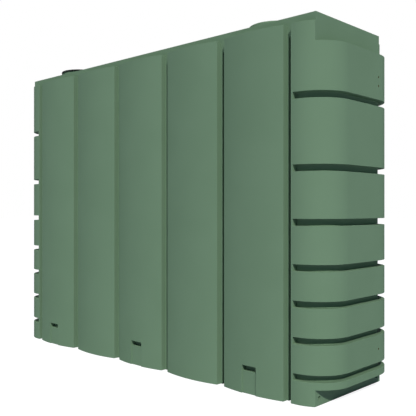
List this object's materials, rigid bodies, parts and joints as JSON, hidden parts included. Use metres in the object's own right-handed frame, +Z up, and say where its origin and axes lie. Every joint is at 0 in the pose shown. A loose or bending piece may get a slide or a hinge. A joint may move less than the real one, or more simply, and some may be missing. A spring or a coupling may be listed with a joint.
{
  "type": "slimline water tank",
  "caption": "Tall narrow moulded rainwater tank with fluted faces, grooved rounded ends, a strainer neck and a blank neck on its roof, and outlet pads at its foot.",
  "frame": {"origin": "middle of the footprint, on the surface that the tank stands on", "axes": "+X along the length towards the end with the blank neck, +Y from the front with the outlet pads to the back, +Z up"},
  "size_m": [3.041, 0.855, 2.2688],
  "materials": {
    "green_polyethylene": "satin, as moulded",
    "black_polypropylene": "satin, as moulded",
    "stainless_mesh": "woven wire",
    "brass_insert": "turned"
  },
  "bodies": {
    "root": {"tank_shell": "green_polyethylene", "strainer_basket": "black_polypropylene", "strainer_mesh": "stainless_mesh", "mesh_clamp_ring": "black_polypropylene", "insert_right_upper": "brass_insert", "insert_right_middle": "brass_insert", "insert_right_lower": "brass_insert", "insert_left_upper": "brass_insert", "insert_left_middle": "brass_insert", "insert_left_lower": "brass_insert"}
  },
  "joints": []
}
